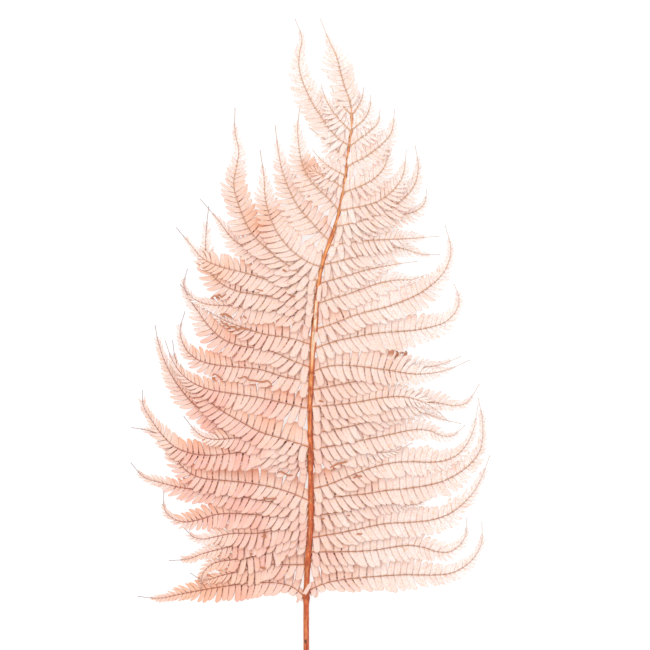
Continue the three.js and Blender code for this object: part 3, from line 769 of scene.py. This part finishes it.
def solid_tree(nodes):
    """The faces of some of the solids, to be found by a ray."""
    corners, faces = [], []
    for node in nodes:
        faces += [[len(corners) + i for i in face.vertices] for face in node.data.polygons]
        corners += [corner.co for corner in node.data.vertices]
    return BVHTree.FromPolygons(corners, faces)


def top_of(tree, place):
    """The height of a tree's uppermost face at a place of the leaf's plan, or None off its faces."""
    hit = tree.ray_cast(in_frame(place, 100), -UP)[0]
    return hit.z / MM if hit else None


all_solids = solid_tree(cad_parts.values())


class Rib(Line):
    """A pinna's line with its heights, read from the solid that the pinna replaces. side is -1 on the
    frond's left and 1 on its right, which is also the way of the leaflets that the next pinna lies over."""

    def __init__(self, points, node, side):
        super().__init__(points)
        self.side = side
        self.is_tip = points is TIP_LINE
        self.is_lowest = points[0][1] < LOWEST_PAIR
        self.slender = smooth(points[0][1], SLENDER_FROM, SLENDER_TO)
        self.full = LEAFLET_LENGTH * min(1, 0.5 + 0.5 * self.length / LARGE_PINNA)
        self.solid = solid_tree([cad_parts[node]])
        self.foot = 0.0
        while self.top(self.foot) is None:
            self.foot += SEEK_STEP
        count = math.ceil((self.length - self.foot) / HEIGHT_STEP)
        high = None
        read = []
        for i in range(count + 1):
            found = self.top(self.foot + 0.2 + i * HEIGHT_STEP)
            high = found if found is not None else high
            read.append(high - SOLID_RIB_THICKNESS / 2)
        padded = [read[0]] * SMOOTHING + read + [read[-1]] * SMOOTHING
        window = 2 * SMOOTHING + 1
        self.heights = [sum(padded[i:i + window]) / window for i in range(len(read))]

    def top(self, length):
        """The height of the solid's upper face on the line, or None off the solid."""
        return top_of(self.solid, self.at(length)[0])

    def height(self, length):
        """The height of the rib's middle, between two that were read."""
        at = min(max((length - self.foot) / HEIGHT_STEP, 0), len(self.heights) - 1.001)
        low = int(at)
        return mix(self.heights[low], self.heights[low + 1], at - low)


def leaflet_half_width(share, slender):
    """A leaflet's half width as a share of half its pitch: joined at the rib and even, then rounded off,
    or drawn in to a narrow tip where slender is 1."""
    body = mix(1.08, mix(1.0, 0.7, slender), smooth(share, 0.15, 1))
    tip = max(0, (share - 0.79) / 0.21)
    return body * math.sqrt(max(0.06, 1 - tip ** 2.4))


# A leaflet: way is 1 on the left of its rib and -1 on its right, base is where it grows on the rib, part
# the share of the leafy stretch up to there, lean its angle to the rib's heading, and slender is 1 where
# it is drawn in to a narrow tip.
Leaflet = namedtuple("Leaflet", "way base part pitch length lean slender")


def add_leaflet(mesh, rib, leaflet, withered=False):
    """One leaflet, cut to the rib, as a thin sheet, or just its end where it is withered."""
    way, base, part, pitch, length, lean, slender = leaflet
    floats, vectors = mesh.verts.layers.float, mesh.verts.layers.float_vector
    draw = chance.random()
    curl = chance.gauss(0, 0.25)
    twist = 0.07 + chance.gauss(0, 0.05)
    slimness = 1 - abs(chance.gauss(0, 0.03))
    bow = chance.uniform(0.25, 0.45)
    camber = chance.uniform(0.3, 0.6)
    start = 0
    lift = 0
    if withered:
        draw = WITHERED
        slimness *= chance.uniform(0.5, 0.9)
        camber *= 3
        start = WITHERED_START
        lift = chance.uniform(1.0, 1.8)
        lean += chance.uniform(-0.15, 0.15)
    tilt = SHINGLE_TILT * (1 - 0.4 * min(1, part))
    sheet = bmesh.ops.create_grid(mesh, x_segments=ROW_STEPS, y_segments=COLUMN_STEPS, size=0.5)["verts"]
    for corner in sheet:
        # Rows crowd towards the tip, which is round.
        grown = 1 - (0.5 - corner.co.x) ** 1.25
        share = mix(start, 1, grown)
        aside = 2 * corner.co.y
        half = leaflet_half_width(share, slender) * slimness * pitch / 2
        forward = length * math.cos(lean) * mix(share ** 2, share, bow) + aside * half
        out = way * length * math.sin(lean) * share
        fall = rib.side * out * tilt + LEAFLET_DROOP * (out / LEAFLET_LENGTH) ** 2
        roll = camber * aside ** 2 * min(1, half / 2) + (MIDVEIN_DEPTH if aside == 0 else 0)
        high = rib.height(base + forward) - fall - roll + curl * share ** 2 - twist * aside * half
        place = rib.beside(base, forward, out)
        corner.co = in_frame(place, max(high + SHEET_RISE + lift * grown, LOWEST))
        corner[vectors["skin"]] = (share * length, -aside, share)
        corner[floats["draw"]] = draw
        corner[floats["reach"]] = part
        corner[floats["under"]] = 1 if way == rib.side else 0


def room_beside(rib, way, base):
    """How far away the next rib lies, square to this one, on one side of it, or 0 if there is none."""
    middle, heading = rib.at(base)
    across = Vector((-heading.y, heading.x)) * way
    room = []
    for place, _, _ in rib_tree.find_range((middle.x, middle.y, 0), NEIGHBOUR_REACH):
        step = place.to_2d() - middle
        if step.dot(across) > OWN_REACH and abs(step.dot(heading)) < SQUARE_WITHIN:
            room.append(step.dot(across))
    return min(room, default=0)


def leaflet_length(rib, way, base, part, lean, pitch):
    """How long a leaflet is, kept off the stalk and short on the inside of a bend."""
    taper = 0.95 + 0.05 * smooth(part, 0, 0.15) - 0.7 * smooth(part, 0.4, 1.05)
    room = room_beside(rib, way, base) * REACH_INTO_ROOM / max(0.6, math.sin(lean))
    full = rib.full * min(LONGEST_LEAFLET, max(LEAFLET_LENGTH, room)) / LEAFLET_LENGTH
    length = full * taper * (1 + chance.uniform(-LENGTH_SPREAD, LENGTH_SPREAD)) + RIB_HALF_WIDTH
    bend = rib.bend(base) * way
    if bend > 0:
        length = min(length, BEND_ROOM / bend)
    tree = stalk_tree if rib.is_tip else axis_tree
    while length > 1.5:
        forward, out = length * math.cos(lean), way * length * math.sin(lean)
        spots = [
            rib.beside(base, forward, out),
            rib.beside(base, forward * 0.5 - pitch * 0.45, out * 0.7),
            rib.beside(base, forward * 0.5 + pitch * 0.45, out * 0.7),
        ]
        if min(clearance(spot, tree) for spot in spots) > LEAFLET_CLEARANCE:
            break
        length -= 0.4
    return length


# Where leaflets' ends dried crumpled and brown: x, y and how far round that place.
CRUMPLED_SPOTS = [
    (-20, 257, 6), (-17, 233, 6), (-37, 237, 5), (-74, 237, 7), (-66, 214, 7), (-51, 212, 8),
    (-72, 169, 5), (-50, 167, 8), (-37, 165, 8), (-22, 159, 5), (-7, 148, 4), (-36, 105, 4),
    (-19, 93, 7), (-54, 74, 6), (-31, 71, 8), (-36, 41, 7), (-48, 29, 5), (-34, 19, 4),
    (53, 249, 5), (42, 225, 6), (74, 195, 7), (12, 187, 3), (8, 150, 3), (7, 129, 3), (23, 103, 8),
    (38, 88, 4), (29, 60, 3), (76, 56, 4), (40, 43, 4), (10, 55, 3),
]


def is_crumpled(tip):
    """Whether a leaflet's end is one of the crumpled, brown ones."""
    return any((tip - Vector((x, y))).length < reach for x, y, reach in CRUMPLED_SPOTS)


def leaflet_lean(rib, way, base, part):
    """A leaflet's angle to the rib's heading: along the stalk next to it, then leaning out."""
    root, heading = rib.at(rib.foot)
    near = 0 if rib.is_tip else math.exp(-(base - rib.foot) / 8)
    towards = math.degrees(heading.angle(stalk_heading(root)))
    if way == rib.side:
        lean = mix(90 - 10 * smooth(part, 0.1, 0.4) - 22 * rib.slender, towards, near)
    else:
        lean = mix(58 + 14 * smooth(part, 0.15, 0.45) - 8 * rib.slender, 180 - towards, near)
    sway = (4 * math.sin(base / 9 + rib.length) + chance.gauss(0, 4)) * (1 - 0.8 * near)
    return math.radians(mix(lean, 25, smooth(part, 0.45, 1.05)) + sway)


# Leaflets that lie out of their rows, each with its middle line and heights and its half width.
STRAYS = {
    "left_pinna_01": [
        ([(0.8, 6.2, 5.2), (-1, 3.2, 6), (-3, -0.4, 5.9), (-5, -3.8, 3.6)], 1.5),
        ([(-5, -1.6, 3), (-6.4, -4.2, 2.6), (-6.4, -7, 1.8)], 1.3),
        ([(-6.6, -1.4, 2.6), (-8.6, -4.6, 2), (-9.6, -8, 1.4), (-10.8, -10.6, 1)], 0.9),
    ],
    "right_pinna_01": [
        ([(0.8, 0.2, 2.6), (3.2, -0.6, 2.6), (5.6, -2.2, 2), (5.4, -4.8, 1.2), (3.2, -5.6, 0.8)], 1.1),
    ],
    "right_pinna_18": [
        ([(8.6, 244.8, 11), (7.8, 241.5, 12.4), (7.2, 237, 12.8), (6.6, 230.5, 12.9)], 1.7),
    ],
    "right_pinna_17": [
        ([(7.4, 229.8, 10.8), (8.1, 226, 11.2), (8, 219, 11), (7.4, 212, 10.8)], 1.6),
    ],
    "right_pinna_15": [
        ([(5.6, 206.5, 12.8), (4.8, 203, 13.6), (4.6, 198, 13.4)], 1.5),
    ],
}


def add_stray(mesh, points, half, withered=False):
    """A leaflet along a line of its own, arched across, as a thin sheet."""
    floats, vectors = mesh.verts.layers.float, mesh.verts.layers.float_vector
    line = Line(points)
    rows = max(8, 3 * len(points))
    sheet = bmesh.ops.create_grid(mesh, x_segments=rows, y_segments=COLUMN_STEPS, size=0.5)["verts"]
    for corner in sheet:
        share = corner.co.x + 0.5
        aside = 2 * corner.co.y
        place, heading = line.at(share * line.length)
        across = heading.cross(UP).normalized()
        width = half * leaflet_half_width(share, 0) * mix(0.45, 1, smooth(share, 0, 0.3))
        place = place + across * aside * width - UP * STRAY_ARCH * aside ** 2
        corner.co = in_frame(place, place.z)
        corner[vectors["skin"]] = (share * line.length, aside, 1 if withered else share)
        corner[floats["draw"]] = WITHERED if withered else 0.3
        corner[floats["reach"]] = 0.1


def add_strand(mesh, places):
    """The dried, rolled margins of neighbouring leaflets, stuck together as a thin brown strand."""
    high = max(top_of(all_solids, place) or 0 for place in places)
    points = []
    for place in places:
        place = place + Vector((chance.gauss(0, STRAND_SCATTER), chance.gauss(0, STRAND_SCATTER)))
        points.append((*place, high + chance.uniform(0.5, 1.4)))
    add_stray(mesh, points, chance.uniform(0.3, 0.55), withered=True)


def leaflets_of(rib):
    """A pinna's leaflets in their turn, from the stalk to the whip, a right one before each left one."""
    first = rib.foot
    while not rib.is_tip and first > 0 and clearance(rib.at(first)[0], stalk_tree) > 0:
        first -= SEEK_STEP
    last = rib.length - rib.whip
    end = last + LEAFY_WHIP * rib.whip
    size = mix(0.5, 1, rib.full / LEAFLET_LENGTH) * mix(1, 0.76, rib.slender)
    base = first
    while base < end:
        part = (base - first) / (last - first)
        pitch = size * mix(FOOT_PITCH, END_PITCH, smooth(part, 0.1, 1.15))
        base += pitch / 2
        for way in (-1, 1):
            lean = leaflet_lean(rib, way, base, part)
            length = leaflet_length(rib, way, base, min(part, 1), lean, pitch)
            if part > 1:
                length *= mix(0.9, 0.2, (base - last) / (end - last))
            if rib.is_lowest and way == -rib.side:
                length *= mix(0.42, 1, smooth(base - rib.foot, 6, 26))
            if length > SHORTEST_LEAFLET:
                slender = max(rib.slender, 0.7 * smooth(part, 0.5, 1))
                yield Leaflet(way, base, part, pitch, length, lean, slender)
        base += pitch / 2


def add_leaflets(mesh, rib):
    """Both rows of leaflets, with the ends that dried crumpled and a strand along each run of them."""
    strand = []
    for leaflet in leaflets_of(rib):
        add_leaflet(mesh, rib, leaflet)
        if leaflet.way != rib.side:
            continue
        forward = leaflet.length * math.cos(leaflet.lean)
        out = leaflet.way * leaflet.length * math.sin(leaflet.lean)
        tip = rib.beside(leaflet.base, forward, out)
        if is_crumpled(tip):
            add_leaflet(mesh, rib, leaflet, withered=True)
            step = rib.at(leaflet.base)[1] * leaflet.pitch / 4
            strand += [tip - step, tip + step]
        elif strand:
            add_strand(mesh, strand)
            strand = []
    if strand:
        add_strand(mesh, strand)


def add_rib(mesh, rib):
    """The rib, a little proud of the leaflets, thick at its foot and drawn out into the whip."""
    start = rib.foot if rib.is_tip else max(0, rib.foot - 2)
    count = round((rib.length - start) / RIB_STEP)
    turns = [2 * math.pi * i / RIB_SIDES for i in range(RIB_SIDES)]
    rings = []
    for i in range(count + 1):
        share = i / count
        length = mix(start, rib.length, share)
        place, heading = rib.at(length)
        rise = (rib.height(length + 1) - rib.height(length - 1)) / 2
        thick = WHIP_HALF + RIB_FOOT_SWELL * math.exp(-(length - start) / 3)
        centre = in_frame(place, max(rib.height(length) + RIB_RISE, thick + 0.05))
        ring = ring_frame(centre, Vector((*heading, rise)), thick * MM, RIB_FLATNESS)
        rings.append((ring, share, length, 0))
    outline = [(math.sin(turn), math.cos(turn)) for turn in turns]
    add_stem(mesh, outline, rings, PINNA_FINISHES.index(rib_finish))


def make_pinna(node, points, side):
    """A rib with leaflets along both sides and a whip at its end. side is -1 on the frond's left."""
    rib = Rib(points, node, side)
    mesh = new_mesh()
    add_leaflets(mesh, rib)
    for line, half in STRAYS.get(node, ()):
        add_stray(mesh, line, half)
    bmesh.ops.solidify(mesh, geom=mesh.faces[:], thickness=LEAFLET_THICKNESS * MM)
    add_rib(mesh, rib)
    for corner in mesh.verts:
        corner.co.z = max(corner.co.z, SURFACE_GAP * MM)
    pinna = new_piece(node + "_leafy", mesh, PINNA_FINISHES)
    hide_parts(node)


make_stalk()
for i, points in enumerate(LEFT_PINNAE):
    make_pinna(f"left_pinna_{i + 1:02d}", points, -1)
for i, points in enumerate(RIGHT_PINNAE):
    make_pinna(f"right_pinna_{i + 1:02d}", points, 1)
make_pinna("frond_tip", TIP_LINE, 1)


# The studio: a light table in a bright room.
PHOTO_MIDDLE = Vector((12, 212))  # the point of the leaf's plan in the middle of the picture
PHOTO_WIDTH = 520 * MM
CAMERA_HEIGHT = 2.6  # in metres, as the table's half width and the lights' sizes and places
TABLE_HALF_WIDTH = 3
TABLE_FLECKS = 400  # a metre
TABLE_GLOW = 0.68  # the table is lit from below, so that shadows stay pale
# Each light's name, its place from the picture's middle, its size and its watts.
LIGHTS = [("Key light", (-0.7, 0.6, 1.5), 1.2, 6), ("Fill light", (0.9, -0.5, 1.3), 1.4, 2.5)]


def make_studio():
    """The table's top of matt white acrylic, the bright room, two soft lights and the camera."""
    mesh = bmesh.new()
    bmesh.ops.create_grid(mesh, x_segments=2, y_segments=2, size=TABLE_HALF_WIDTH)
    data = bpy.data.meshes.new("studio_floor")
    mesh.to_mesh(data)
    mesh.free()
    floor = bpy.data.objects.new("studio_floor", data)
    bpy.context.scene.collection.objects.link(floor)
    material, tree, shader = new_material("Lit white acrylic")
    fleck = add_node(tree, "ShaderNodeTexNoise", {"Scale": TABLE_FLECKS, "Detail": 2})
    tone = add_node(tree, "ShaderNodeValToRGB", {"Fac": fleck.outputs["Fac"]},
                    stops=[(0, "#A2A2A2"), (1, "#A8A8A8")])
    tree.links.new(tone.outputs["Color"], shader.inputs["Base Color"])
    shader.inputs["Roughness"].default_value = 0.9
    shader.inputs["Emission Color"].default_value = (1, 1, 1, 1)
    shader.inputs["Emission Strength"].default_value = TABLE_GLOW
    data.materials.append(material)
    floor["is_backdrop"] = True

    world = bpy.data.worlds.new("Bright room")
    bpy.context.scene.world = world
    world.use_nodes = True
    world.node_tree.nodes["Background"].inputs["Color"].default_value = (1, 1, 1, 1)
    world.node_tree.nodes["Background"].inputs["Strength"].default_value = 1

    middle = in_frame(PHOTO_MIDDLE, 0)
    for name, place, size, power in LIGHTS:
        light = bpy.data.lights.new(name, "AREA")
        light.size = size
        light.energy = power
        lamp = bpy.data.objects.new(name, light)
        lamp.location = middle + Vector(place)
        lamp.rotation_euler = (middle - lamp.location).to_track_quat("-Z", "Y").to_euler()
        lamp.visible_camera = False
        bpy.context.scene.collection.objects.link(lamp)

    camera = bpy.data.objects.new("Camera", bpy.data.cameras.new("Camera"))
    camera.location = middle + UP * CAMERA_HEIGHT
    camera.data.lens = camera.data.sensor_width * CAMERA_HEIGHT / PHOTO_WIDTH
    bpy.context.scene.collection.objects.link(camera)
    bpy.context.scene.camera = camera
    bpy.context.scene.view_settings.view_transform = "Standard"


make_studio()

boxes = {"solids": solid_box, "scene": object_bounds()}
{name: [list(corner) for corner in box] for name, box in boxes.items()}
